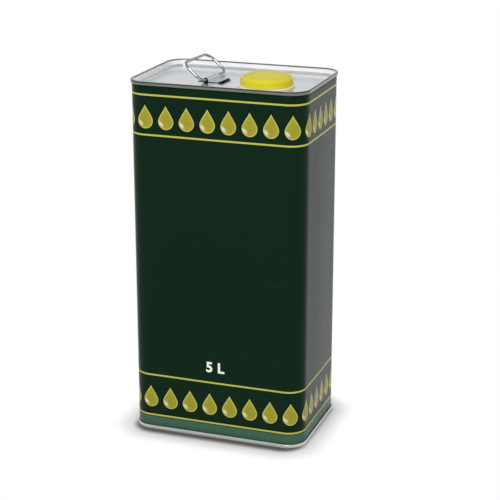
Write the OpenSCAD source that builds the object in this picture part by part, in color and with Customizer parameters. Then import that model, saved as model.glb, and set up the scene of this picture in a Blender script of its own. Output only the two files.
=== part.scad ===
// Five-litre olive oil tin with a pull-up pouring spout.
// Millimetres, Z up. The origin is the middle of the footprint, on the plane
// that the tin stands on. The front of the tin looks along -Y.

/* [Tin] */
// Outside width of the body wall, left to right
body_w = 157; // [120:1:200]
// Outside depth of the body wall, front to back
body_d = 108; // [80:1:140]
// Height over both seams
tin_h = 316; // [200:1:400]
// Outside radius of the four upright corners
corner_r = 16; // [8:0.5:30]
// Thickness of the tinplate
sheet_t = 0.3; // [0.2:0.05:0.6]
// Width of the welded overlap on the left side
lap_w = 1.6; // [0.8:0.1:4]
// Depth of the lid's panel below the crest of the top seam
lid_recess = 6; // [4:0.5:12]
// Height of the bottom's panel above the floor
base_recess = 5; // [3:0.5:10]
// Inside radius where a panel turns up into its wall
panel_turn_r = 1.2; // [0.5:0.1:3]
// Margin of the bottom's raised middle from the body wall
boss_margin = 13; // [8:1:25]
// Height of the bottom's raised middle
boss_h = 0.9; // [0.4:0.1:2]

/* [Double seam] */
// Height of a finished seam
seam_h = 3.2; // [2.6:0.1:5]
// Clearance between the folded layers
fold_gap = 0.06; // [0.02:0.01:0.12]
// Outside radius of the crest's two shoulders
shoulder_r = 0.6; // [0.4:0.05:0.8]
// Thickness of the sealing compound over the body's hook
compound_t = 0.2; // [0.1:0.05:0.4]
// Clearance past the end of each hook
hook_gap = 0.3; // [0.1:0.05:0.6]

/* [Handle] */
// Diameter of the handle's wire
wire_d = 2.5; // [2:0.1:3]
// Length of the loop's side under the saddle, between its corner points
loop_foot = 48.8; // [44:0.2:80]
// Length of the loop's grip side, between its corner points
loop_grip = 48.2; // [36:0.2:90]
// Reach of the loop from its hinge line to the middle of the grip wire
loop_reach = 23; // [20:0.2:50]
// Bend radius at the loop's feet, to the middle of the wire
foot_bend_r = 7; // [3:0.5:8]
// Bend radius at the grip's corners, to the middle of the wire
grip_bend_r = 8; // [3:0.5:12]
// Gap where the wire's two ends meet under the saddle
wire_end_gap = 1.2; // [0.4:0.1:4]
// Angle that the loop stands up from the lid as it is drawn
handle_rest = 39; // [5:1:90]
// Angle that the saddle and its loop are turned on the lid
handle_yaw = 5; // [0:1:15]
// Distance that the loop has slid to the back in its saddle
handle_slide = 6; // [0:0.5:6]
// Distance of the hinge line from the tin's middle, to the left
handle_x = 21.9; // [15:0.1:40]
// Clearance under the wire on the lid
wire_lift = 0.5; // [0.1:0.1:1]

/* [Saddle] */
// Length of the saddle along its tunnel
saddle_len = 22.4; // [12:0.2:32]
// Thickness of the saddle's sheet
saddle_t = 0.4; // [0.3:0.05:1]
// Inside width of the tunnel
tunnel_w = 3.6; // [3.6:0.1:12]
// Clearance over the wire in the tunnel
tunnel_head = 0.3; // [0.2:0.1:2]
// Outside radius of the tunnel's shoulders
tunnel_r = 2.2; // [1:0.1:2.2]
// Width of the left wing
left_wing = 6.2; // [4:0.2:12]
// Width of the flat part of the right wing
right_wing = 9.2; // [3.6:0.2:12]
// Length of the lip at the right wing's end
lip_len = 3.4; // [2:0.2:8]
// Slope of the lip
lip_tilt = 30; // [0:1:60]
// Radius of the saddle's corners, seen from above
saddle_corner_r = 2.5; // [1:0.5:6]
// Radius of one spot weld
weld_r = 1.2; // [0.8:0.1:2]
// Distance between the two welds of a wing
weld_pitch = 12; // [6:0.5:20]
// Height of a weld's button over the wing
weld_proud = 0.08; // [0.02:0.02:0.3]

/* [Spout collar] */
// Distance of the spout's axis from the tin's middle, to the right
spout_x = 31; // [24:0.5:45]
// Distance of the spout's axis from the tin's middle, to the front
spout_y = 8; // [0:0.5:20]
// Radius of the hole in the lid
hole_r = 21; // [18:0.1:26]
// Height of the hole's down-turned edge
hole_edge_h = 2; // [1:0.1:4]
// Radial clearance of the collar in the hole
collar_fit = 0.1; // [0.05:0.05:0.3]
// Outside radius of the collar's flange
flange_r = 24.3; // [22:0.1:28]
// Thickness of the collar's flange
flange_t = 1.2; // [0.8:0.05:3]
// Clearance between the flange and the lid
seat_gap = 0.05; // [0.02:0.01:0.2]
// Reach of the snap ridge under the hole's edge
snap_reach = 0.7; // [0.3:0.1:1.5]
// Height of the snap ridge
snap_h = 1.4; // [0.8:0.1:3]
// Wall of the collar's lower sleeve
sleeve_t = 1.5; // [1:0.1:3]
// Length of the sleeve's bore, which guides the tube
guide_len = 9; // [5:0.5:20]

/* [Pouring tube] */
// Outside radius of the tube
tube_r = 17; // [12:0.1:20]
// Wall of the tube
tube_t = 1.6; // [1:0.1:2.5]
// Radial clearance of the tube in its guide
tube_fit = 0.2; // [0.1:0.05:0.5]
// Travel of the tube from stowed to drawn out
spout_travel = 30; // [15:1:45]
// Reach of the stop rim at the tube's foot
stop_reach = 1.4; // [0.8:0.1:2.5]
// Thickness of the stop rim
stop_t = 1.6; // [1:0.1:3]
// Step from the tube in to its neck
neck_step = 0.8; // [0.4:0.1:1.2]
// Height of the snap bead on the neck and in the cap
bead_h = 1.2; // [0.8:0.1:2]
// Reach of each of those snap beads
bead_reach = 0.2; // [0.1:0.02:0.4]
// Distance of the neck's bead below the mouth
bead_drop = 3.4; // [2:0.1:6]
// Depth of the tear-out seal below the mouth
seal_drop = 5.7; // [4:0.1:12]
// Thickness of the tear-out seal
seal_t = 0.9; // [0.5:0.1:2]
// Outside radius of the seal's pull ring
seal_ring_r = 9; // [6:0.2:12]
// Width and thickness of the seal's pull ring
seal_ring_t = 1.6; // [1:0.1:2.5]
// Length of the post that carries the seal's pull ring
seal_post_h = 1.8; // [1:0.1:3]
// Radial clearance of the seal in the tube
seal_fit = 0.05; // [0.02:0.01:0.1]

/* [Cap] */
// Outside radius of the cap
cap_r = 22.4; // [20:0.1:24]
// Height of the cap's visible side
cap_h = 7.7; // [5:0.1:9]
// Radius of the cap's top edge
cap_edge_r = 3.8; // [0.5:0.1:3.8]
// Wall of the cap's outer rim
rim_t = 1.1; // [0.8:0.1:2]
// Thickness of the cap's top
cap_top_t = 2.6; // [1.5:0.1:3]
// Length of the inner skirt under the cap's top
skirt_len = 8.1; // [5:0.1:12]
// Wall of the inner skirt
skirt_t = 1.1; // [0.8:0.1:2]
// Radial clearance of the skirt on the neck and in the collar's well
skirt_fit = 0.4; // [0.2:0.05:0.8]
// Clearance under the cap's rim, and under its skirt
cap_gap = 0.15; // [0.05:0.05:0.5]
// Thickness of the liner
liner_t = 0.6; // [0.3:0.1:1.5]
// Clearance between the liner and the tube's mouth
liner_gap = 0.1; // [0.05:0.05:0.3]

/* [Pull ring] */
// Outside radius of the pull ring
ring_r = 18.2; // [15:0.1:18.2]
// Width of the pull ring
ring_w = 3.2; // [2:0.1:5]
// Thickness of the pull ring
ring_t = 1.3; // [0.8:0.1:2]
// Depth of the ring's groove in the cap
groove_depth = 1.25; // [0.8:0.05:1.5]
// Clearance all round the ring in its groove
ring_fit = 0.35; // [0.2:0.05:0.6]
// Clearance under the ring
ring_lift = 0.1; // [0.05:0.05:0.3]
// Length of the hinge roll
roll_len = 5; // [3:0.5:8]
// Distance of the hinge line past the ring's edge
roll_out = 0.9; // [0.7:0.05:1.5]

/* [Hidden] */
$fn = 96;
// Overrun of a cutting shape past the face that it opens
cut = 0.5;
// Narrowest flat that a hood's crest is drawn with
min_flat = 0.01;
// How far a straight wire runs on into a bend, and how much finer it is
bend_overlap = 0.2;
bend_step = 0.01;
// How far the turn round a panel runs on into the panel, so that both are one
panel_lap = 1;

// Layers of a seam, from the inside out. Zero is the body wall's outer face.
chuck_in = -2 * sheet_t - fold_gap;
chuck_out = chuck_in + sheet_t;
cover_hook_in = fold_gap;
body_hook_out = 2 * fold_gap + 2 * sheet_t;
seam_out = 3 * fold_gap + 3 * sheet_t;
// Drop from the crest to the top of the body's hook
body_top = sheet_t + compound_t;
// Half widths of the two folded hooks, which close round each other
body_fold_r = (body_hook_out + sheet_t) / 2;
cover_fold_r = (seam_out - cover_hook_in) / 2;

// Heights on the lid
panel_z = tin_h - lid_recess;
hinge_z = panel_z + wire_lift + wire_d / 2;
wing_z = panel_z + seat_gap;
tunnel_h = wire_lift + wire_d + tunnel_head;

// Heights of the spout, from the lid up to the cap and down again
flange_z = panel_z + seat_gap;
cap_z = flange_z + flange_t + cap_gap;
cap_top_z = cap_z + cap_h;
cap_under_z = cap_top_z - cap_top_t;
mouth_z = cap_under_z - liner_t - liner_gap;
skirt_z = cap_under_z - skirt_len;
shoulder_z = skirt_z - cap_gap;
well_z = shoulder_z - cap_gap;
guide_z = well_z - guide_len;
tube_z = guide_z - spout_travel - stop_t;
seal_z = mouth_z - seal_drop;
ring_z = cap_top_z - groove_depth + ring_lift;
roll_z = ring_z + ring_t / 2;

// Radii of the spout, from the tube's bore outwards
neck_r = tube_r - neck_step;
skirt_in = neck_r + skirt_fit;
skirt_out = skirt_in + skirt_t;
well_r = skirt_out + skirt_fit;
guide_r = tube_r + tube_fit;
hub_r = hole_r - collar_fit;
roll_x = ring_r + roll_out;
roll_r = ring_t / 2;

// Flat outline of the tin, drawn in from the body wall's outer face
module tin_outline(inset) {
    w = body_w - 2 * inset;
    d = body_d - 2 * inset;
    r = corner_r - inset;
    square([w - 2 * r, d], center = true);
    square([w, d - 2 * r], center = true);
    for (x = [-1, 1], y = [-1, 1])
        translate([x * (w / 2 - r), y * (d / 2 - r)])
            circle(r);
}

// Carries an edge section round the tin: four straight runs and four corners.
// The section's zero is the body wall's outer face, and its x looks outwards.
module round_the_tin() {
    for (side = [0, 1]) {
        mirror([side, 0, 0])
            translate([body_w / 2, 0, 0])
                rotate([90, 0, 0])
                    linear_extrude(body_d - 2 * corner_r, center = true)
                        children();
        mirror([0, side, 0])
            translate([0, body_d / 2, 0])
                rotate([90, 0, 90])
                    linear_extrude(body_w - 2 * corner_r, center = true)
                        children();
    }
    for (x = [0, 1], y = [0, 1])
        mirror([x, 0, 0])
            mirror([0, y, 0])
                translate([body_w / 2 - corner_r, body_d / 2 - corner_r, 0])
                    rotate_extrude(angle = 90)
                        translate([corner_r, 0])
                            children();
}

// Flat shape with two rounded upper corners and a square foot
module hood(left, right, top, r, depth) {
    flat = right - left - 2 * r;
    translate([left, top - depth])
        square([right - left, depth - r]);
    // a fully round hood has no flat on its crest
    if (flat > min_flat)
        translate([left + r, top - depth])
            square([flat, depth]);
    for (x = flat > min_flat ? [left + r, right - r] : [(left + right) / 2])
        translate([x, top - r])
            circle(r);
}

// Sheet folded over a hood: its outside is the hood, its thickness sheet_t
module folded(left, right, top, r, depth) {
    difference() {
        hood(left, right, top, r, depth);
        hood(left + sheet_t, right - sheet_t, top - sheet_t, r - sheet_t, depth);
    }
}

// Edge section of an end, its crest at zero and its panel at -recess
module end_section(recess) {
    half_h = seam_h / 2;
    // crest, which closes over the body's hook
    folded(chuck_in, seam_out, 0, shoulder_r, half_h);
    // turned-under hook
    translate([0, -seam_h])
        mirror([0, 1])
            folded(cover_hook_in, seam_out, 0, cover_fold_r, half_h);
    translate([cover_hook_in, -half_h])
        square([sheet_t, half_h - body_top - sheet_t - hook_gap]);
    // wall down to the panel, and the turn at its foot
    translate([chuck_in, panel_turn_r - recess])
        square([sheet_t, recess - panel_turn_r - half_h]);
    translate([chuck_in - panel_turn_r, panel_turn_r - recess])
        intersection() {
            difference() {
                circle(panel_turn_r + sheet_t);
                circle(panel_turn_r);
            }
            translate([0, -panel_turn_r - sheet_t])
                square(panel_turn_r + sheet_t);
        }
    translate([chuck_in - panel_turn_r - panel_lap, -recess - sheet_t])
        square([panel_lap, sheet_t]);
}

// Upper edge section of the body, hooked over, its crest at -body_top
module body_section() {
    folded(-sheet_t, body_hook_out, -body_top, body_fold_r,
        seam_h - body_top - sheet_t - hook_gap);
}

// Strip of sealing compound between the end's crest and the body's hook
module compound_section() {
    difference() {
        hood(chuck_out, seam_out - sheet_t, -sheet_t, shoulder_r - sheet_t,
            body_fold_r);
        translate([chuck_out - cut, -body_top - body_fold_r])
            square([seam_out + body_fold_r, body_fold_r]);
    }
}

// Carries a shape to the spout's axis
module at_spout() {
    translate([spout_x, -spout_y, 0])
        children();
}

// Upright tube section between two heights
module sleeve(r_out, r_in, z0, z1) {
    translate([0, 0, z0])
        difference() {
            cylinder(r = r_out, h = z1 - z0);
            translate([0, 0, -cut])
                cylinder(r = r_in, h = z1 - z0 + 2 * cut);
        }
}

// Straight wire lying in the XY plane. It runs on into the bends at its ends,
// and is finer than they are by bend_step, so that its ends lie inside them.
module straight_wire(a, b, r) {
    run = b - a;
    translate([a[0], a[1], 0])
        rotate([0, 0, atan2(run[1], run[0])])
            translate([-bend_overlap, 0, 0])
                rotate([0, 90, 0])
                    cylinder(r = r - bend_step, h = norm(run) + 2 * bend_overlap);
}

// Wire bend lying in the XY plane
module bend(centre, bend_r, from, sweep, r) {
    translate([centre[0], centre[1], 0])
        rotate([0, 0, from])
            rotate_extrude(angle = sweep)
                translate([bend_r, 0])
                    circle(r);
}

module body_wall() {
    straight = body_top + body_fold_r;
    color([0.08, 0.18, 0.12])
        round_the_tin() {
            translate([0, tin_h])
                body_section();
            mirror([0, 1])
                body_section();
            translate([-sheet_t, straight])
                square([sheet_t, tin_h - 2 * straight]);
        }
}

// Welded overlap, up the middle of the left side between the seams
module side_seam() {
    color([0.55, 0.56, 0.56])
        translate([-body_w / 2 - sheet_t, -lap_w / 2, seam_h + hook_gap])
            cube([sheet_t, lap_w, tin_h - 2 * seam_h - 2 * hook_gap]);
}

module top_end() {
    color([0.75, 0.76, 0.77]) {
        translate([0, 0, tin_h])
            round_the_tin()
                end_section(lid_recess);
        difference() {
            translate([0, 0, panel_z - sheet_t])
                linear_extrude(sheet_t)
                    tin_outline(panel_turn_r - chuck_in);
            at_spout()
                translate([0, 0, panel_z - sheet_t - cut])
                    cylinder(r = hole_r + sheet_t / 2, h = sheet_t + 2 * cut);
        }
        at_spout()
            sleeve(hole_r + sheet_t, hole_r, panel_z - sheet_t - hole_edge_h, panel_z);
    }
}

module bottom_end() {
    color([0.72, 0.73, 0.74]) {
        mirror([0, 0, 1])
            round_the_tin()
                end_section(base_recess);
        // flat margin, raised middle, and the step between them
        translate([0, 0, base_recess])
            linear_extrude(sheet_t)
                difference() {
                    tin_outline(panel_turn_r - chuck_in);
                    tin_outline(boss_margin);
                }
        translate([0, 0, base_recess])
            linear_extrude(boss_h + sheet_t)
                difference() {
                    tin_outline(boss_margin);
                    tin_outline(boss_margin + sheet_t);
                }
        translate([0, 0, base_recess + boss_h])
            linear_extrude(sheet_t)
                tin_outline(boss_margin);
    }
}

module top_compound() {
    color([0.35, 0.33, 0.3])
        translate([0, 0, tin_h])
            round_the_tin()
                compound_section();
}

module bottom_compound() {
    color([0.35, 0.33, 0.3])
        mirror([0, 0, 1])
            round_the_tin()
                compound_section();
}

// Carries a shape to the middle of the handle's hinge line, turned as it lies
module at_handle() {
    translate([-handle_x, 0, 0])
        rotate([0, 0, -handle_yaw])
            children();
}

// Places of the four spot welds, two on each wing of the saddle
module at_welds() {
    left_x = -tunnel_w / 2 - saddle_t - left_wing / 2;
    right_x = tunnel_w / 2 + saddle_t + right_wing / 2;
    for (x = [left_x, right_x], y = [-1, 1] * weld_pitch / 2)
        translate([x, y, 0])
            children();
}

// Side view of the saddle: two wings, the tunnel, and the lip on the right
module saddle_section() {
    half = tunnel_w / 2 + saddle_t;
    difference() {
        hood(-half, half, tunnel_h + saddle_t, tunnel_r, tunnel_h + saddle_t);
        hood(-half + saddle_t, half - saddle_t, tunnel_h, tunnel_r - saddle_t,
            tunnel_h + saddle_t + cut);
    }
    translate([-half - left_wing, 0])
        square([left_wing + saddle_t, saddle_t]);
    translate([half - saddle_t, 0])
        square([right_wing + saddle_t, saddle_t]);
    translate([half + right_wing, saddle_t / 2]) {
        circle(saddle_t / 2);
        rotate(lip_tilt)
            translate([0, -saddle_t / 2])
                square([lip_len, saddle_t]);
    }
}

module handle_bracket() {
    left = tunnel_w / 2 + saddle_t + left_wing;
    right = tunnel_w / 2 + saddle_t + right_wing + lip_len * cos(lip_tilt);
    r = saddle_corner_r;
    color([0.7, 0.71, 0.72])
        at_handle()
            difference() {
                intersection() {
                    translate([0, 0, wing_z])
                        rotate([90, 0, 0])
                            linear_extrude(saddle_len, center = true)
                                saddle_section();
                    // round the four corners, seen from above
                    translate([0, 0, wing_z - cut])
                        linear_extrude(tunnel_h + saddle_t + 2 * cut)
                            union() {
                                translate([-left, r - saddle_len / 2])
                                    square([left + right, saddle_len - 2 * r]);
                                translate([r - left, -saddle_len / 2])
                                    square([left + right - 2 * r, saddle_len]);
                                for (x = [r - left, right - r], y = [-1, 1])
                                    translate([x, y * (saddle_len / 2 - r)])
                                        circle(r);
                            }
                }
                at_welds()
                    translate([0, 0, wing_z - cut])
                        cylinder(r = weld_r + seat_gap, h = saddle_t + 2 * cut);
            }
}

module bracket_welds() {
    color([0.5, 0.5, 0.5])
        at_handle()
            at_welds()
                translate([0, 0, panel_z])
                    cylinder(r = weld_r, h = seat_gap + saddle_t + weld_proud);
}

module handle_wire() {
    r = wire_d / 2;
    flare = atan2((loop_grip - loop_foot) / 2, loop_reach);
    foot_turn = 90 - flare;
    grip_turn = 90 + flare;
    foot_y = loop_foot / 2 - foot_bend_r * tan(foot_turn / 2);
    grip_y = loop_grip / 2 - grip_bend_r * tan(grip_turn / 2);
    arm_start = [foot_bend_r * (1 - cos(foot_turn)), foot_y + foot_bend_r * sin(foot_turn)];
    arm_end = [loop_reach - grip_bend_r * (1 + sin(flare)), grip_y + grip_bend_r * cos(flare)];
    color([0.66, 0.67, 0.68])
        at_handle()
            translate([0, handle_slide, hinge_z])
                rotate([0, handle_rest, 0])
                    mirror([1, 0, 0]) {
                        for (side = [0, 1])
                            mirror([0, side, 0]) {
                                straight_wire([0, wire_end_gap / 2 + bend_overlap],
                                    [0, foot_y], r);
                                bend([foot_bend_r, foot_y], foot_bend_r,
                                    180 - foot_turn, foot_turn, r);
                                straight_wire(arm_start, arm_end, r);
                                bend([loop_reach - grip_bend_r, grip_y], grip_bend_r,
                                    0, grip_turn, r);
                            }
                        straight_wire([loop_reach, -grip_y], [loop_reach, grip_y], r);
                    }
}

module spout_collar() {
    snap_z = panel_z - sheet_t - hole_edge_h - seat_gap - snap_h;
    hub_z = min(snap_z, well_z) - sleeve_t;
    color([0.9, 0.86, 0.76])
        at_spout() {
            sleeve(flange_r, well_r, flange_z, flange_z + flange_t);
            sleeve(hub_r, well_r, well_z, flange_z + flange_t);
            sleeve(hub_r, guide_r, hub_z, well_z);
            sleeve(hub_r + snap_reach, hub_r - cut, snap_z, snap_z + snap_h);
            sleeve(guide_r + sleeve_t, guide_r, guide_z, well_z);
        }
}

module spout_tube() {
    bore_r = tube_r - tube_t;
    bead_z = mouth_z - bead_drop;
    color([0.93, 0.9, 0.82])
        at_spout() {
            sleeve(tube_r, bore_r, tube_z, shoulder_z);
            sleeve(neck_r, bore_r, shoulder_z, mouth_z);
            sleeve(neck_r + bead_reach, neck_r - cut, bead_z, bead_z + bead_h);
            sleeve(tube_r + stop_reach, bore_r, tube_z, tube_z + stop_t);
        }
}

module pour_seal() {
    ring_z0 = seal_z + seal_t + seal_post_h;
    post_r = seal_ring_t / 2;
    color([0.93, 0.9, 0.82])
        at_spout() {
            translate([0, 0, seal_z])
                cylinder(r = tube_r - tube_t - seal_fit, h = seal_t);
            translate([seal_ring_r - post_r, 0, seal_z])
                cylinder(r = post_r, h = seal_t + seal_post_h + seal_ring_t);
            sleeve(seal_ring_r, seal_ring_r - seal_ring_t, ring_z0, ring_z0 + seal_ring_t);
        }
}

module cap_shell() {
    groove_in = ring_r - ring_w - ring_fit;
    groove_out = ring_r + ring_fit;
    pocket_y = roll_len / 2 + ring_fit;
    bead_z = skirt_z;
    color([0.86, 0.82, 0.22])
        at_spout()
            difference() {
                union() {
                    difference() {
                        rotate_extrude() {
                            translate([0, cap_z])
                                square([cap_r, cap_h - cap_edge_r]);
                            translate([0, cap_z])
                                square([cap_r - cap_edge_r, cap_h]);
                            translate([cap_r - cap_edge_r, cap_top_z - cap_edge_r])
                                circle(cap_edge_r);
                        }
                        translate([0, 0, cap_z - cut])
                            cylinder(r = cap_r - rim_t, h = cap_under_z - cap_z + cut);
                    }
                    sleeve(skirt_out, skirt_in, skirt_z, cap_under_z + cut);
                    sleeve(skirt_in + cut, skirt_in - bead_reach + cap_gap / 2,
                        bead_z, bead_z + bead_h);
                }
                sleeve(groove_out, groove_in, cap_top_z - groove_depth, cap_top_z + cut);
                translate([ring_r, -pocket_y, cap_top_z - groove_depth])
                    cube([roll_out + roll_r + ring_fit, 2 * pocket_y, groove_depth + cut]);
            }
}

module cap_liner() {
    color([0.95, 0.95, 0.94])
        at_spout()
            translate([0, 0, mouth_z + liner_gap])
                cylinder(r = skirt_in - seat_gap, h = liner_t);
}

module cap_ring() {
    color([0.84, 0.79, 0.2])
        at_spout() {
            sleeve(ring_r, ring_r - ring_w, ring_z, ring_z + ring_t);
            translate([ring_r - ring_w / 2, -roll_len / 2, ring_z])
                cube([ring_w / 2 + roll_out, roll_len, ring_t]);
            translate([roll_x, 0, roll_z])
                rotate([90, 0, 0])
                    cylinder(r = roll_r, h = roll_len, center = true);
        }
}

body_wall();
side_seam();
top_end();
bottom_end();
top_compound();
bottom_compound();
handle_bracket();
bracket_welds();
handle_wire();
spout_collar();
spout_tube();
pour_seal();
cap_shell();
cap_liner();
cap_ring();
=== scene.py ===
# %% [markdown]
# # A five-litre olive oil tin
# The tin is a printed steel sheet rolled into a body and closed by two seamed
# ends. A wire handle folds on the lid, and a plastic spout pulls out of it.
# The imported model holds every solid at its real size, in metres, Z up, with the
# front looking along -Y. This file gives the solids their finishes, rolls the
# printed sheet, and sets the camera and the light.

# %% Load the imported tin
import math
import random

import bpy
from mathutils import Matrix, Vector


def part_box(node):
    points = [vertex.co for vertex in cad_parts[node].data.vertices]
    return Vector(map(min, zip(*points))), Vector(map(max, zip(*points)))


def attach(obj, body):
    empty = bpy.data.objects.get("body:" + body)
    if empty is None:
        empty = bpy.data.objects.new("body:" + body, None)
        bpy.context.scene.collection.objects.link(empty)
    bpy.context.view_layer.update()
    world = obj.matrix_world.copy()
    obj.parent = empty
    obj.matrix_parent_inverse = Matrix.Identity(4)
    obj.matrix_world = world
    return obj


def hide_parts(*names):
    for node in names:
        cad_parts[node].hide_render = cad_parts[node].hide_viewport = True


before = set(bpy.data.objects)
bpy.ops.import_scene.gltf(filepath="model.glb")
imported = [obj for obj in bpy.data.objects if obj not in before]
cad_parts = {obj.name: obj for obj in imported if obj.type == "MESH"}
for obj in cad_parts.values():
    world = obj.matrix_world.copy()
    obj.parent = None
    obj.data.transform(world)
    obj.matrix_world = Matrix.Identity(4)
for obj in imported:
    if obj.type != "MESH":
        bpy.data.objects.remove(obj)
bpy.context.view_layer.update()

MM = 0.001

# %% [markdown]
# ## Small tools for shader nodes
# A finish is a tree of nodes. Written out one by one, the nodes of a tree fill
# pages, so a few short helpers make a node, set what it needs, and hand back the
# socket that the next node reads. A value may be a number or another socket.


# %% Helpers that make nodes
def plug(tree, value, socket):
    """Links a socket, or writes a number or colour."""
    if isinstance(value, bpy.types.NodeSocket):
        tree.links.new(value, socket)
    else:
        socket.default_value = value


def maths(tree, operation, *values):
    node = tree.nodes.new("ShaderNodeMath")
    node.operation = operation
    for value, socket in zip(values, node.inputs):
        plug(tree, value, socket)
    return node.outputs[0]


def soft_step(tree, value, low, high):
    """0 at low and 1 at high, with a smooth change between. Low may be the larger."""
    node = tree.nodes.new("ShaderNodeMapRange")
    node.interpolation_type = "SMOOTHSTEP"
    for name, number in (("Value", value), ("From Min", low), ("From Max", high)):
        plug(tree, number, node.inputs[name])
    return node.outputs["Result"]


def spread(tree, value, low, high):
    """Stretches 0..1 to low..high."""
    node = tree.nodes.new("ShaderNodeMapRange")
    for name, number in (("Value", value), ("To Min", low), ("To Max", high)):
        plug(tree, number, node.inputs[name])
    return node.outputs["Result"]


def mix(tree, share, below, above, way="MIX"):
    """One colour laid over another."""
    node = tree.nodes.new("ShaderNodeMix")
    node.data_type, node.blend_type = "RGBA", way
    for value, socket in zip((share, below, above), [node.inputs[i] for i in (0, 6, 7)]):
        plug(tree, value, socket)
    return node.outputs[2]


def stretched(tree, vector, scale, turn=(0, 0, 0)):
    node = tree.nodes.new("ShaderNodeMapping")
    plug(tree, vector, node.inputs["Vector"])
    node.inputs["Rotation"].default_value = [math.radians(a) for a in turn]
    node.inputs["Scale"].default_value = scale
    return node.outputs["Vector"]


def noise(tree, vector, scale=1.0, detail=2.0, rough=0.5, bend=0.0):
    node = tree.nodes.new("ShaderNodeTexNoise")
    plug(tree, vector, node.inputs["Vector"])
    for name, number in (("Scale", scale), ("Detail", detail), ("Roughness", rough),
                         ("Distortion", bend)):
        plug(tree, number, node.inputs[name])
    return node.outputs["Fac"]


def part_places(tree):
    """Coordinates in metres that stay with the piece when it moves."""
    return tree.nodes.new("ShaderNodeTexCoord").outputs["Object"]


def split(tree, vector):
    node = tree.nodes.new("ShaderNodeSeparateXYZ")
    plug(tree, vector, node.inputs[0])
    return node.outputs


def from_outline(tree, x, y, half_w, half_d, radius):
    """Distance outside a rounded rectangle, and less than zero inside it."""
    over_x = maths(tree, "SUBTRACT", maths(tree, "ABSOLUTE", x), half_w - radius)
    over_y = maths(tree, "SUBTRACT", maths(tree, "ABSOLUTE", y), half_d - radius)
    out_x, out_y = maths(tree, "MAXIMUM", over_x, 0.0), maths(tree, "MAXIMUM", over_y, 0.0)
    corner = maths(tree, "SQRT", maths(tree, "MULTIPLY_ADD", out_x, out_x,
                                       maths(tree, "MULTIPLY", out_y, out_y)))
    inner = maths(tree, "MINIMUM", maths(tree, "MAXIMUM", over_x, over_y), 0.0)
    return maths(tree, "SUBTRACT", maths(tree, "ADD", corner, inner), radius)


def bumps(tree, height, distance, strength=1.0):
    node = tree.nodes.new("ShaderNodeBump")
    plug(tree, height, node.inputs["Height"])
    node.inputs["Distance"].default_value = distance
    node.inputs["Strength"].default_value = strength
    return node.outputs["Normal"]


def ink(red, green, blue):
    """A colour read off a screen, 0 to 255, as the light values that a shader uses."""
    def light(v):
        v /= 255
        return v / 12.92 if v <= 0.04045 else ((v + 0.055) / 1.055) ** 2.4
    return (light(red), light(green), light(blue), 1.0)


# %% Helpers that make groups and materials
def start_group(name, inputs, outputs):
    """A node group with named inputs, each with its usual value, and named outputs."""
    tree = bpy.data.node_groups.new(name, "ShaderNodeTree")
    for label, kind, usual in inputs:
        socket = tree.interface.new_socket(label, in_out="INPUT", socket_type=kind)
        if usual is not None:
            socket.default_value = usual
    for label in outputs:
        tree.interface.new_socket(label, in_out="OUTPUT", socket_type="NodeSocketFloat")
    entry = tree.nodes.new("NodeGroupInput").outputs
    return tree, entry, tree.nodes.new("NodeGroupOutput").inputs


def use_group(tree, group, **values):
    """Places a group. An input named Two words is written two_words here."""
    node = tree.nodes.new("ShaderNodeGroup")
    node.node_tree = group
    for name, value in values.items():
        plug(tree, value, node.inputs[name.replace("_", " ").capitalize()])
    return node.outputs


def new_finish(name, **sockets):
    """A material, its node tree and its shader, with plain values on the shader."""
    material = bpy.data.materials.new(name)
    material.use_nodes = True
    shader = material.node_tree.nodes["Principled BSDF"]
    for label, value in sockets.items():
        shader.inputs[label.replace("_", " ").title().replace("Ior", "IOR")].default_value = value
    return material, material.node_tree, shader.inputs


# %% [markdown]
# ## Effects that several finishes share
# Three effects come back on many pieces: the grain that the rolling mill leaves
# in tinplate, the marks of hands and shelves, and the fine skin of a moulded
# part. Each is a group of its own, so that it is made once and every finish only
# says how large and how strong it is there.

# %% Rolling grain of the tinplate
grain, entry, result = start_group(
    "Rolling grain",
    [("Places", "NodeSocketVector", None), ("Fineness", "NodeSocketFloat", 1.0)],
    ["Streaks", "Clouds", "Height"],
)
scaled = grain.nodes.new("ShaderNodeVectorMath")
scaled.operation = "SCALE"
grain.links.new(entry["Places"], scaled.inputs[0])
grain.links.new(entry["Fineness"], scaled.inputs["Scale"])
streaks = noise(grain, stretched(grain, scaled.outputs[0], (70, 2600, 300)), detail=3)
clouds = noise(grain, scaled.outputs[0], scale=42, detail=3, rough=0.6, bend=0.6)
plug(grain, streaks, result["Streaks"])
plug(grain, clouds, result["Clouds"])
plug(grain, maths(grain, "MULTIPLY_ADD", streaks, 0.6, maths(grain, "MULTIPLY", clouds, 0.8)),
     result["Height"])

# %% Marks of hands and shelves
marks, entry, result = start_group(
    "Handling marks",
    [("Places", "NodeSocketVector", None), ("Amount", "NodeSocketFloat", 1.0)],
    ["Smudges", "Scratches"],
)
patches = soft_step(marks, noise(marks, entry["Places"], scale=26, detail=4, bend=1.2), 0.5, 0.72)
plug(marks, maths(marks, "MULTIPLY", patches, entry["Amount"]), result["Smudges"])
lines = []
for turn, lengthwise, across in ((37, 16, 900), (-22, 22, 1300), (81, 12, 1100)):
    long_noise = noise(marks, stretched(marks, entry["Places"], (lengthwise, across, across),
                                        (turn * 0.7, turn * 0.4, turn)), detail=1)
    lines.append(soft_step(marks, long_noise, 0.74, 0.8))
scratches = maths(marks, "MAXIMUM", maths(marks, "MAXIMUM", lines[0], lines[1]), lines[2])
plug(marks, maths(marks, "MULTIPLY", scratches, entry["Amount"]), result["Scratches"])

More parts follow.
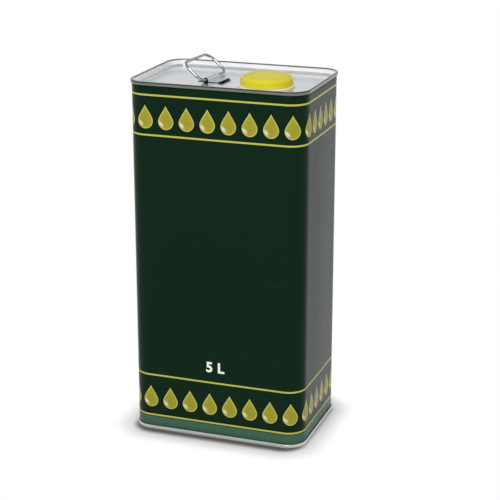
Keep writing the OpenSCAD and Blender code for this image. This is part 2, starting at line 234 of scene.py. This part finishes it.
# %% Skin of a moulded part
skin, entry, result = start_group(
    "Moulded skin",
    [("Places", "NodeSocketVector", None), ("Grain size", "NodeSocketFloat", 1500.0)],
    ["Flow", "Speckle", "Height"],
)
flow = noise(skin, entry["Places"], scale=70, detail=3, bend=1.5)
speckle = noise(skin, entry["Places"], scale=entry["Grain size"], detail=2, rough=0.6)
plug(skin, flow, result["Flow"])
plug(skin, speckle, result["Speckle"])
plug(skin, maths(skin, "MULTIPLY_ADD", flow, 0.5, speckle), result["Height"])
print("shared effects:", [g.name for g in bpy.data.node_groups])

# %% [markdown]
# ## The print
# Tinplate is printed flat and rolled afterwards. So the print is drawn in the
# sheet's own two measures, along the sheet and up it, which the rolled mesh
# keeps in a UV map. The four lines are distances from a height. A drop is
# a round foot with two straight sides that meet in a point: its edge is
# a distance too, so the rim, the dark trap round it and the fill are steps of
# one number. A picture of the print would blur, and a distance never does.

# %% Sizes of the tin and of its print
body_w, body_d, tin_h, corner_r = 157 * MM, 108 * MM, 316 * MM, 16 * MM
line_heights = (305.0 * MM, 270.6 * MM, 52.2 * MM, 13.7 * MM)
line_half = 0.80 * MM
drop_pitch = 18.65 * MM
first_drop = -5.35 * MM
drop_foot = {"upper": 276.0 * MM, "lower": 21.3 * MM}
drop_r = 6.9 * MM
drop_h = 21.4 * MM
bare_margin = 5.0 * MM
print_edge = 0.12 * MM

# %% The drop as a node group
drop, entry, result = start_group(
    "Oil drop",
    [("Across", "NodeSocketFloat", 0.0), ("Up", "NodeSocketFloat", 0.0)],
    ["Inside", "Glint"],
)
apex = drop_h - drop_r
slope = math.asin(drop_r / apex)
side_run = apex * math.cos(slope)
over = maths(drop, "SUBTRACT", entry["Up"], drop_r)
aside = maths(drop, "ABSOLUTE", entry["Across"])
along = maths(drop, "SUBTRACT", maths(drop, "MULTIPLY", over, math.cos(slope)),
              maths(drop, "MULTIPLY", aside, math.sin(slope)))
outward = maths(drop, "ADD", maths(drop, "MULTIPLY", aside, math.cos(slope)),
                maths(drop, "MULTIPLY", over, math.sin(slope)))
# the sides are drawn in a little towards the point
pinch = maths(drop, "MULTIPLY", soft_step(drop, along, 0.25 * side_run, 0.8 * side_run), 0.4 * MM)
straight = maths(drop, "SUBTRACT", drop_r, maths(drop, "ADD", outward, pinch))
reach = maths(drop, "SQRT", maths(drop, "ADD", maths(drop, "MULTIPLY", entry["Across"],
              entry["Across"]), maths(drop, "MULTIPLY", over, over)))
foot = maths(drop, "SUBTRACT", drop_r, reach)
on_side = maths(drop, "GREATER_THAN", along, 0.0)
inside = maths(drop, "ADD", maths(drop, "MULTIPLY", on_side, straight),
               maths(drop, "MULTIPLY", maths(drop, "SUBTRACT", 1.0, on_side), foot))
plug(drop, inside, result["Inside"])
# light that the drop gathers at its lower left: a slanting oval
lean = math.radians(43)
gx = maths(drop, "ADD", entry["Across"], 4.3 * MM)
gy = maths(drop, "SUBTRACT", entry["Up"], 4.9 * MM)
glint_x = maths(drop, "ADD", maths(drop, "MULTIPLY", gx, math.cos(lean)),
                maths(drop, "MULTIPLY", gy, math.sin(lean)))
glint_y = maths(drop, "SUBTRACT", maths(drop, "MULTIPLY", gy, math.cos(lean)),
                maths(drop, "MULTIPLY", gx, math.sin(lean)))
oval = maths(drop, "SQRT", maths(drop, "ADD", maths(drop, "POWER", maths(drop, "DIVIDE",
             glint_x, 2.0 * MM), 2.0), maths(drop, "POWER", maths(drop, "DIVIDE", glint_y,
             4.3 * MM), 2.0)))
plug(drop, soft_step(drop, oval, 1.0, 0.1), result["Glint"])
print("drop:", round(2 * drop_r / MM, 1), "x", round(drop_h / MM, 1), "mm")


# %% The printed and lacquered sheet
def printed_finish():
    material, tree, shader = new_finish("printed_tinplate", specular_ior_level=0.07)
    flat = tree.nodes.new("ShaderNodeUVMap")
    flat.uv_map = "flat_sheet"
    along_sheet, up_sheet, _ = split(tree, flat.outputs[0])
    places = part_places(tree)
    x, y, z = split(tree, places)
    wear = use_group(tree, marks, places=places, amount=1.0)
    # ground colour, with the slight unevenness of a rolled-on ink
    ground = mix(tree, noise(tree, places, scale=9, detail=3), ink(2, 32, 15), ink(6, 36, 20))
    # the band under the lowest line is painted a lighter green: a painted reflection of the white
    # floor
    floor_reflection_band = soft_step(tree, up_sheet, line_heights[3] + 0.5 * MM, line_heights[3] - 0.5 * MM)
    ground = mix(tree, floor_reflection_band, ground, ink(66, 100, 82))
    lines = None
    for height in line_heights:
        away = maths(tree, "ABSOLUTE", maths(tree, "SUBTRACT", up_sheet, height))
        lines = away if lines is None else maths(tree, "MINIMUM", lines, away)
    across = maths(tree, "WRAP", maths(tree, "SUBTRACT", along_sheet, first_drop),
                   drop_pitch / 2, -drop_pitch / 2)
    inside, glint = None, None
    for foot_height in drop_foot.values():
        up = maths(tree, "SUBTRACT", up_sheet, foot_height)
        one = use_group(tree, drop, across=across, up=up)
        inside = one["Inside"] if inside is None else maths(tree, "MAXIMUM", inside, one["Inside"])
        glint = one["Glint"] if glint is None else maths(tree, "MAXIMUM", glint, one["Glint"])
    trap = soft_step(tree, inside, -1.3 * MM, -0.4 * MM)
    colour = mix(tree, maths(tree, "MULTIPLY", trap, 0.95), ground, ink(0, 3, 0))
    line_trap = soft_step(tree, lines, line_half + 1.1 * MM, line_half + 0.3 * MM)
    colour = mix(tree, maths(tree, "MULTIPLY", line_trap, 0.9), colour, ink(0, 3, 0))
    colour = mix(tree, soft_step(tree, lines, line_half + print_edge, line_half - print_edge),
                 colour, ink(182, 183, 83))
    rim = mix(tree, soft_step(tree, inside, 0.3 * MM, 1.5 * MM), ink(181, 184, 91),
              ink(156, 151, 46))
    deep = soft_step(tree, inside, 1.5 * MM, 6.0 * MM)
    body = mix(tree, maths(tree, "MULTIPLY", deep, 0.5), rim, ink(147, 138, 43))
    body = mix(tree, glint, body, ink(222, 214, 196))
    colour = mix(tree, soft_step(tree, inside, -print_edge, print_edge), colour, body)
    # the two margins beside the weld carry no ink
    on_left = maths(tree, "LESS_THAN", x, -0.9 * box_half.x)
    from_weld = maths(tree, "ABSOLUTE", y)
    wander = spread(tree, noise(tree, places, scale=60), -0.25 * MM, 0.25 * MM)
    edge = maths(tree, "ADD", from_weld, wander)
    bare = maths(tree, "MULTIPLY", on_left, soft_step(tree, edge, bare_margin + print_edge,
                                                      bare_margin - print_edge))
    heat = soft_step(tree, edge, 2.6 * MM, 0.8 * MM)
    plate = mix(tree, heat, ink(186, 182, 168), ink(120, 108, 92))
    colour = mix(tree, bare, colour, plate)
    scuffed = maths(tree, "MULTIPLY", wear["Scratches"], 0.05)
    colour = mix(tree, scuffed, colour, ink(120, 135, 120))
    plug(tree, colour, shader["Base Color"])
    plug(tree, bare, shader["Metallic"])
    dull = maths(tree, "MULTIPLY_ADD", wear["Smudges"], 0.10, 0.15)
    dull = maths(tree, "MULTIPLY_ADD", wear["Scratches"], 0.15, dull)
    plug(tree, maths(tree, "MULTIPLY_ADD", bare, 0.12, dull), shader["Roughness"])
    peel = noise(tree, places, scale=420, detail=2, rough=0.5)
    plug(tree, bumps(tree, peel, 0.004 * MM), shader["Normal"])
    return material


low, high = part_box("body_wall")
seam_low, seam_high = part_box("top_end")
box_half = Vector((seam_high.x, seam_high.y, seam_high.z))
print("wall with its hooks:", [round(v / MM, 2) for v in (high - low)])

# %% [markdown]
# ## Bare tinplate, weld and wire
# The lid, the bottom and the saddle are unprinted tinplate: a bright metal with
# a satin grain. Where the seaming rolls have pressed the edge it is smoother
# and shows sharper reflections, with short marks of the rolls along it.


# %% Bare tinplate
def tinplate_finish(name, seam_tone=None, crest_tone=None, dull=0.0, cut_ends=False):
    material, tree, shader = new_finish(name, metallic=1.0)
    places = part_places(tree)
    x, y, z = split(tree, places)
    mill = use_group(tree, grain, places=places, fineness=1.0)
    wear = use_group(tree, marks, places=places, amount=1.0)
    tone = maths(tree, "MULTIPLY_ADD", mill["Streaks"], 0.06, maths(tree, "MULTIPLY",
                 mill["Clouds"], 0.06))
    colour = mix(tree, tone, ink(222, 226, 229), ink(244, 246, 248))
    colour = mix(tree, maths(tree, "MULTIPLY", wear["Smudges"], 0.10), colour,
                 ink(196, 196, 192))
    rough = maths(tree, "MULTIPLY_ADD", mill["Clouds"], 0.05, 0.36)
    rough = maths(tree, "MULTIPLY_ADD", wear["Smudges"], 0.05, rough)
    height = mill["Height"]
    if seam_tone:
        # the seam's crest and outside, which the rolls have pressed; their colour is painted in:
        # on the lid dark, a painted reflection of dark surroundings, and near black in the fold, a
        # painted shadow
        from_end = maths(tree, "SUBTRACT", box_half.z / 2, maths(tree, "ABSOLUTE", maths(
            tree, "SUBTRACT", z, box_half.z / 2)))
        out = from_outline(tree, x, y, body_w / 2, body_d / 2, corner_r)
        outside = soft_step(tree, out, 0.2 * MM, 0.6 * MM)
        crest = soft_step(tree, from_end, 1.5 * MM, 0.6 * MM)
        painted_fold_shadow = soft_step(tree, from_end, 2.5 * MM, 3.1 * MM)
        pressed = maths(tree, "MAXIMUM", outside, maths(tree, "MULTIPLY", crest, 0.8))
        # the turn at the panel's edge is drawn tight over the tool, so it is smooth
        turn = maths(tree, "MULTIPLY", soft_step(tree, from_end, 4.2 * MM, 4.9 * MM),
                     soft_step(tree, from_end, 5.98 * MM, 5.8 * MM))
        # the wall inside the seam keeps a pale film of lacquer, which scatters the light; its
        # near-white colour is also a painted highlight for the bright inner wall
        wall = soft_step(tree, from_end, 4.9 * MM, 4.2 * MM)
        lacquer_film_and_highlight = maths(tree, "MAXIMUM", maths(tree, "SUBTRACT", wall, pressed), 0.0)
        colour = mix(tree, lacquer_film_and_highlight, colour, ink(252, 252, 250))
        rough = mix_number(tree, wall, mix_number(tree, turn, rough, 0.30), 0.55)
        # painted reflection: on the lid the seam and crest tones are dark, standing in for dark
        # surroundings mirrored in the seam
        shade = mix(tree, crest, ink(*seam_tone), ink(*crest_tone))
        # painted shadow: the fold under the crest is painted near black
        shade = mix(tree, maths(tree, "MULTIPLY", painted_fold_shadow, 0.8 - dull), shade, ink(38, 44, 36))
        colour = mix(tree, pressed, colour, shade)
        rough = mix_number(tree, pressed, rough, 0.2 + 0.4 * dull)
        bright = maths(tree, "MULTIPLY_ADD", pressed, -dull, 1.0)
        plug(tree, maths(tree, "MULTIPLY_ADD", lacquer_film_and_highlight, -0.95, bright), shader["Metallic"])
        chatter = noise(tree, stretched(tree, places, (260, 260, 40)), detail=2)
        rough = maths(tree, "MULTIPLY_ADD", maths(tree, "MULTIPLY", pressed, chatter), 0.10, rough)
        height = mix_number(tree, pressed, height, maths(tree, "MULTIPLY", chatter, 1.6))
    if cut_ends:
        # the strip's cut front and back edges are painted near black, a painted shadow of the gap
        # under them, and its underside is painted grey, a painted shade; both stay dull
        facing = tree.nodes.new("ShaderNodeTexCoord").outputs["Normal"]
        _, forward, up = split(tree, facing)
        below = soft_step(tree, up, -0.3, -0.6)
        painted_edge_shadow = soft_step(tree, maths(tree, "ABSOLUTE", forward), 0.8, 0.95)
        colour = mix(tree, below, colour, ink(128, 128, 126))
        colour = mix(tree, painted_edge_shadow, colour, ink(34, 34, 32))
        rough = mix_number(tree, maths(tree, "MAXIMUM", painted_edge_shadow, below), rough, 0.5)
    plug(tree, colour, shader["Base Color"])
    plug(tree, rough, shader["Roughness"])
    plug(tree, bumps(tree, height, 0.0015 * MM), shader["Normal"])
    return material


def mix_number(tree, share, below, above):
    node = tree.nodes.new("ShaderNodeMix")
    for value, socket in zip((share, below, above), node.inputs):
        plug(tree, value, socket)
    return node.outputs[0]


# %% Weld
def weld_finish():
    """Overlap that the welding wheels have pressed flat, with a ripple for each pulse."""
    material, tree, shader = new_finish("weld_line", metallic=1.0)
    places = part_places(tree)
    x, y, z = split(tree, places)
    pulse = maths(tree, "SINE", maths(tree, "MULTIPLY", maths(tree, "ADD", z,
                  maths(tree, "MULTIPLY", y, 0.4)), 2 * math.pi / (1.1 * MM)))
    stain = noise(tree, places, scale=220, detail=4, rough=0.65)
    colour = mix(tree, stain, ink(148, 146, 142), ink(205, 204, 200))
    colour = mix(tree, spread(tree, pulse, 0.0, 0.18), colour, ink(96, 84, 72))
    plug(tree, colour, shader["Base Color"])
    plug(tree, maths(tree, "MULTIPLY_ADD", stain, 0.25, 0.3), shader["Roughness"])
    plug(tree, bumps(tree, maths(tree, "MULTIPLY_ADD", pulse, 0.5, stain), 0.02 * MM),
         shader["Normal"])
    return material


# %% Handle wire
def wire_finish():
    """Drawn and galvanised: fine lines from the die, and a faint zinc bloom."""
    material, tree, shader = new_finish("wire", metallic=1.0)
    places = part_places(tree)
    die = noise(tree, stretched(tree, places, (60, 60, 2600)), detail=2)
    bloom = noise(tree, places, scale=240, detail=4, rough=0.6)
    colour = mix(tree, bloom, ink(140, 141, 142), ink(200, 201, 202))
    plug(tree, colour, shader["Base Color"])
    plug(tree, maths(tree, "MULTIPLY_ADD", bloom, 0.12, 0.08), shader["Roughness"])
    plug(tree, bumps(tree, maths(tree, "ADD", die, bloom), 0.01 * MM), shader["Normal"])
    return material


# %% [markdown]
# ## Plastics
# The cap and its ring are moulded in solid yellow, the collar and the spout in
# natural polyethylene, which lets a little light in. A fine skin breaks the
# highlight, and the flow of the melt shows as a faint change of tone.


# %% Moulded plastics
def plastic_finish(name, dark, pale, rough, grain_size=1500.0, inner_glow=0.0):
    material, tree, shader = new_finish(name, specular_ior_level=0.16)
    shader["Subsurface Weight"].default_value = inner_glow
    shader["Subsurface Radius"].default_value = (1.0, 0.8, 0.5)
    shader["Subsurface Scale"].default_value = 2.0 * MM
    places = part_places(tree)
    surface = use_group(tree, skin, places=places, grain_size=grain_size)
    wear = use_group(tree, marks, places=places, amount=1.0)
    colour = mix(tree, surface["Flow"], ink(*dark), ink(*pale))
    colour = mix(tree, maths(tree, "MULTIPLY", surface["Speckle"], 0.12), colour, ink(*dark))
    plug(tree, colour, shader["Base Color"])
    gloss = maths(tree, "MULTIPLY_ADD", surface["Speckle"], 0.10, rough)
    plug(tree, maths(tree, "MULTIPLY_ADD", wear["Scratches"], 0.12, gloss), shader["Roughness"])
    plug(tree, bumps(tree, surface["Height"], 0.012 * MM), shader["Normal"])
    return material


# %% Give every solid its finish
# the saddle's cut edges carry a painted shadow and its underside a painted shade
tinplate = tinplate_finish("tinplate", cut_ends=True)
# the lid's dark seam and crest tones are a painted reflection of dark surroundings
lid_plate = tinplate_finish("lid_tinplate", seam_tone=(122, 124, 115), crest_tone=(74, 75, 70))
base_plate = tinplate_finish("base_tinplate", seam_tone=(228, 233, 228),
                             crest_tone=(218, 224, 220), dull=0.6)
weld = weld_finish()
wire = wire_finish()
yellow = plastic_finish("yellow_plastic", (216, 204, 40), (226, 214, 52), 0.34)
cream = plastic_finish("cream_plastic", (238, 229, 202), (246, 239, 218), 0.36, inner_glow=0.25)
natural = plastic_finish("tube_plastic", (232, 226, 208), (240, 235, 220), 0.34, inner_glow=0.3)
compound = plastic_finish("sealing_compound", (96, 92, 84), (120, 114, 104), 0.6)
foam = plastic_finish("liner_foam", (226, 226, 222), (240, 240, 236), 0.7, grain_size=900.0)
finishes = {
    "top_end": lid_plate, "bottom_end": base_plate, "handle_bracket": tinplate,
    "side_seam": weld, "bracket_welds": weld, "handle_wire": wire,
    "cap_shell": yellow, "cap_ring": yellow, "spout_collar": cream,
    "spout_tube": natural, "pour_seal": natural, "cap_liner": foam,
    "top_compound": compound, "bottom_compound": compound,
}
for node, finish in finishes.items():
    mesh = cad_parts[node].data
    mesh.materials.clear()
    mesh.materials.append(finish)
print("finished solids:", len(finishes))

# %% [markdown]
# ## Rolling the sheet
# The body is one sheet, so it is built as one: a flat grid whose columns are
# rolled round the tin's outline from the weld and back to it. Each corner of
# a face keeps its place on the flat sheet as UV, which is where the print is
# drawn. A large panel of thin steel is never quite flat. It stands out a little
# in the middle, and that small crown bends the reflections in the lacquer.

# %% Sizes of the sheet
sheet_t = 0.3 * MM
sheet_end = 1.3 * MM
crown = 0.42 * MM
side_squeeze = 18.65 / 15.4
waves = random.Random(11)
ripple = [(waves.uniform(1.5, 4.5), waves.uniform(1.0, 3.0), waves.uniform(0, 6.28))
          for _ in range(4)]


# %% Outline of the tin, walked from the weld
def walk_outline():
    """Columns round the tin: (x, y), outward direction, place on the print, panel's share."""
    quarter = math.pi * corner_r / 2
    runs = [(body_d / 2 - corner_r, 10, side_squeeze, 0.0), (0, 12, 1, 0),
            (body_w - 2 * corner_r, 30, 1, 1.0), (0, 12, 1, 0),
            (body_d - 2 * corner_r, 20, side_squeeze, 0.7), (0, 12, 1, 0),
            (body_w - 2 * corner_r, 30, 1, 1.0), (0, 12, 1, 0),
            (body_d / 2 - corner_r, 10, side_squeeze, 0.0)]
    before_front = (body_d / 2 - corner_r) * side_squeeze + quarter + body_w / 2 - corner_r
    place, heading, on_print = Vector((-body_w / 2, 0)), -90.0, -before_front
    columns = []
    for length, steps, squeeze, share in runs:
        for step in range(steps):
            part = step / steps
            turn = math.radians(heading + (0 if length else 90 * part))
            ahead = Vector((math.cos(turn), math.sin(turn)))
            out = Vector((ahead.y, -ahead.x))
            if length:
                at = place + ahead * length * part
            else:
                at = centre + out * corner_r
            reach = length if length else quarter
            columns.append((at, out, on_print + reach * part * squeeze,
                            share * math.sin(math.pi * part) ** 2))
        if length:
            place = place + ahead * length
            centre = place - out * corner_r
            on_print += length * squeeze
        else:
            heading += 90
            turn = math.radians(heading)
            place = centre + Vector((math.sin(turn), -math.cos(turn))) * corner_r
            on_print += quarter
    columns.append((columns[0][0], columns[0][1], on_print, 0.0))
    return columns


def crown_at(share, height):
    """How far the sheet stands out from its true plane."""
    clear = min(1.0, max(0.0, (min(height, tin_h - height) - 6 * MM) / (60 * MM)))
    rise = clear * clear * (3 - 2 * clear)
    t = height / tin_h
    uneven = sum(math.sin(a * t * 6.28 + b * share * 3 + c) for a, b, c in ripple) * 0.025
    return crown * share * rise * (1 + uneven)


# %% The rolled sheet
def roll_the_sheet(rows=60):
    columns = walk_outline()
    around = len(columns) - 1
    heights = [sheet_end + (tin_h - 2 * sheet_end) * r / rows for r in range(rows + 1)]
    points = []
    for depth in (0.0, sheet_t):
        for height in heights:
            for at, out, _, share in columns[:-1]:
                flat = at + out * (crown_at(share, height) - depth)
                points.append((flat.x, flat.y, height))
    inner = len(heights) * around
    faces, flat_uv, bake_uv = [], [], []
    length = columns[-1][2] - columns[0][2]

    def on_sheet(c, r, layer):
        u, v = columns[c][2], heights[r]
        across, up = (u - columns[0][2]) / length, r / rows
        low, high = ((0.005, 0.93), (0.945, 0.985))[layer]
        return (u, v), (0.004 + 0.992 * across, low + (high - low) * up)

    def face(corners):
        faces.append([layer * inner + r * around + c % around for c, r, layer in corners])
        for c, r, layer in corners:
            flat, bake = on_sheet(c, r, layer)
            flat_uv.append(flat)
            bake_uv.append(bake)

    for r in range(rows):
        for c in range(around):
            face([(c, r, 0), (c + 1, r, 0), (c + 1, r + 1, 0), (c, r + 1, 0)])
            face([(c, r, 1), (c, r + 1, 1), (c + 1, r + 1, 1), (c + 1, r, 1)])
    for c in range(around):
        face([(c, 0, 1), (c + 1, 0, 1), (c + 1, 0, 0), (c, 0, 0)])
        face([(c, rows, 0), (c + 1, rows, 0), (c + 1, rows, 1), (c, rows, 1)])
    mesh = bpy.data.meshes.new("printed_sheet")
    mesh.from_pydata(points, [], faces)
    for name, places in (("flat_sheet", flat_uv), ("OFBake", bake_uv)):
        layer = mesh.uv_layers.new(name=name)
        layer.data.foreach_set("uv", [n for uv in places for n in uv])
    mesh.polygons.foreach_set("use_smooth", [True] * len(faces))
    mesh.materials.append(printed_finish())
    sheet = bpy.data.objects.new("printed_sheet", mesh)
    bpy.context.scene.collection.objects.link(sheet)
    return sheet


printed_sheet = roll_the_sheet()
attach(printed_sheet, "tin")
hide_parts("body_wall")
print("sheet faces:", len(printed_sheet.data.polygons))

# %% [markdown]
# ## The content mark
# A tin says how much it holds. The mark is a plain figure and a capital letter
# in white ink, so it is made from Blender's own letter outlines, filled and
# laid on the sheet with the thickness of a coat of ink.


# %% Content mark
def white_ink_finish():
    material, tree, shader = new_finish("white_ink", specular_ior_level=0.14)
    places = part_places(tree)
    cover = noise(tree, places, scale=700, detail=3, rough=0.6)
    plug(tree, mix(tree, cover, ink(226, 230, 224), ink(244, 246, 242)), shader["Base Color"])
    plug(tree, maths(tree, "MULTIPLY_ADD", cover, 0.08, 0.2), shader["Roughness"])
    return material


def lay_content_mark(words="5 L", height=9.4 * MM, middle=0.0, foot=62.4 * MM):
    letters = bpy.data.curves.new("content_mark", "FONT")
    letters.body, letters.align_x = words, "CENTER"
    letters.size = height / 0.73
    letters.offset = 0.00042
    letters.space_character = 1.05
    letters.extrude = 0.01 * MM
    writing = bpy.data.objects.new("writing", letters)
    bpy.context.scene.collection.objects.link(writing)
    bpy.context.view_layer.update()
    seen = writing.evaluated_get(bpy.context.evaluated_depsgraph_get())
    mesh = bpy.data.meshes.new_from_object(seen)
    bpy.data.objects.remove(writing)
    wide = body_w - 2 * corner_r
    for vertex in mesh.vertices:
        x, z, lift = vertex.co.x + middle, vertex.co.y + foot, vertex.co.z
        share = math.sin(math.pi * (x / wide + 0.5)) ** 2
        vertex.co = (x, -body_d / 2 - crown_at(share, z) - 0.02 * MM - lift, z)
    mesh.materials.clear()
    mesh.materials.append(white_ink_finish())
    mark = bpy.data.objects.new("content_mark", mesh)
    bpy.context.scene.collection.objects.link(mark)
    return mark


content_mark = lay_content_mark()
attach(content_mark, "tin")
print("content mark:", [round(v / MM, 1) for v in content_mark.dimensions])

# %% [markdown]
# ## Floor, light and camera
# The tin stands on a white sweep. The whole sky is a large soft light, palest
# near the floor, and one wide soft box, high in front, gives the metal its
# highlights. Together they light a white surface to just under white, so
# a colour renders as written. The box hangs so high that the lid doesn't mirror
# it, from any side that a person would look from.

# %% Floor
def floor_finish():
    """Pale paper, which keeps the tin's shadow near its foot, darkens it there with a painted
    shadow and runs out to white.
    """
    material, tree, shader = new_finish("white_paper", roughness=0.9, specular_ior_level=0.1)
    places = part_places(tree)
    x, y, _ = split(tree, places)
    # the shadow, kept and painted, reaches a little farther in front of the foot than behind it
    before = maths(tree, "ADD", y, 4 * MM)
    away = from_outline(tree, x, before, body_w / 2 - 3 * MM, body_d / 2, corner_r)
    fibre = noise(tree, places, scale=14, detail=3)
    paper = mix(tree, fibre, ink(246, 246, 246), ink(250, 250, 250))
    painted_contact_shadow = soft_step(tree, away, 9 * MM, 0.0)
    plug(tree, mix(tree, painted_contact_shadow, paper, ink(104, 100, 100)), shader["Base Color"])
    rays = tree.nodes.new("ShaderNodeLightPath").outputs
    seen = maths(tree, "MAXIMUM", maths(tree, "MAXIMUM", rays["Is Camera Ray"],
                 rays["Is Glossy Ray"]), rays["Is Transmission Ray"])
    glow = tree.nodes.new("ShaderNodeEmission")
    blend = tree.nodes.new("ShaderNodeMixShader")
    clear = soft_step(tree, away, 3 * MM, 27 * MM)
    plug(tree, maths(tree, "MULTIPLY", clear, seen), blend.inputs[0])
    out = tree.nodes["Material Output"].inputs["Surface"]
    tree.links.new(out.links[0].from_socket, blend.inputs[1])
    tree.links.new(glow.outputs[0], blend.inputs[2])
    tree.links.new(blend.outputs[0], out)
    return material


floor_mesh = bpy.data.meshes.new("floor")
reach = 12.0
floor_mesh.from_pydata([(-reach, -reach, 0), (reach, -reach, 0), (reach, reach, 0),
                        (-reach, reach, 0)], [], [(0, 1, 2, 3)])
floor = bpy.data.objects.new("floor", floor_mesh)
floor.location.z = -0.05 * MM
bpy.context.scene.collection.objects.link(floor)
floor_mesh.materials.append(floor_finish())

# %% Sky
world = bpy.data.worlds.new("studio")
bpy.context.scene.world = world
world.use_nodes = True
tree = world.node_tree
direction = tree.nodes.new("ShaderNodeTexCoord").outputs["Generated"]
_, _, upward = split(tree, direction)
ramp = tree.nodes.new("ShaderNodeValToRGB")
plug(tree, upward, ramp.inputs[0])
stops = ((0.0, 1.0), (0.12, 0.86), (0.29, 0.76), (0.44, 0.50), (0.74, 0.50), (0.92, 0.62))
for at, level in stops:
    stop = ramp.color_ramp.elements.new(at) if at else ramp.color_ramp.elements[0]
    stop.position = at
    stop.color = (level, level, level * 1.01, 1)
ramp.color_ramp.elements[-1].color = (0.62, 0.62, 0.626, 1)
plug(tree, ramp.outputs[0], tree.nodes["Background"].inputs["Color"])
tree.nodes["Background"].inputs["Strength"].default_value = 1.0


# %% Lamp
def add_lamp(name, place, target, size, power):
    light = bpy.data.lights.new(name, "AREA")
    light.shape, light.size, light.energy = "DISK", size, power
    lamp = bpy.data.objects.new(name, light)
    lamp.location = place
    lamp.rotation_euler = (Vector(target) - Vector(place)).to_track_quat("-Z", "Y").to_euler()
    bpy.context.scene.collection.objects.link(lamp)


add_lamp("soft_box", (0.2, -1.65, 1.75), (0, 0, 0.2), 1.3, 23.5)

# %% Camera
where = Vector((0.4380, -1.2044, 0.5720))
ahead = Vector((-0.3165, 0.8975, -0.3072)).normalized()
aside = ahead.cross(Vector((0, 0, 1))).normalized()
above = aside.cross(ahead)
camera_data = bpy.data.cameras.new("camera")
camera_data.lens, camera_data.sensor_width = 109.35, 36.0
camera = bpy.data.objects.new("camera", camera_data)
bpy.context.scene.collection.objects.link(camera)
camera.matrix_world = Matrix.Translation(where) @ Matrix(
    (aside, above, -ahead)).transposed().to_4x4()
bpy.context.scene.camera = camera
bpy.context.scene.view_settings.view_transform = "Standard"
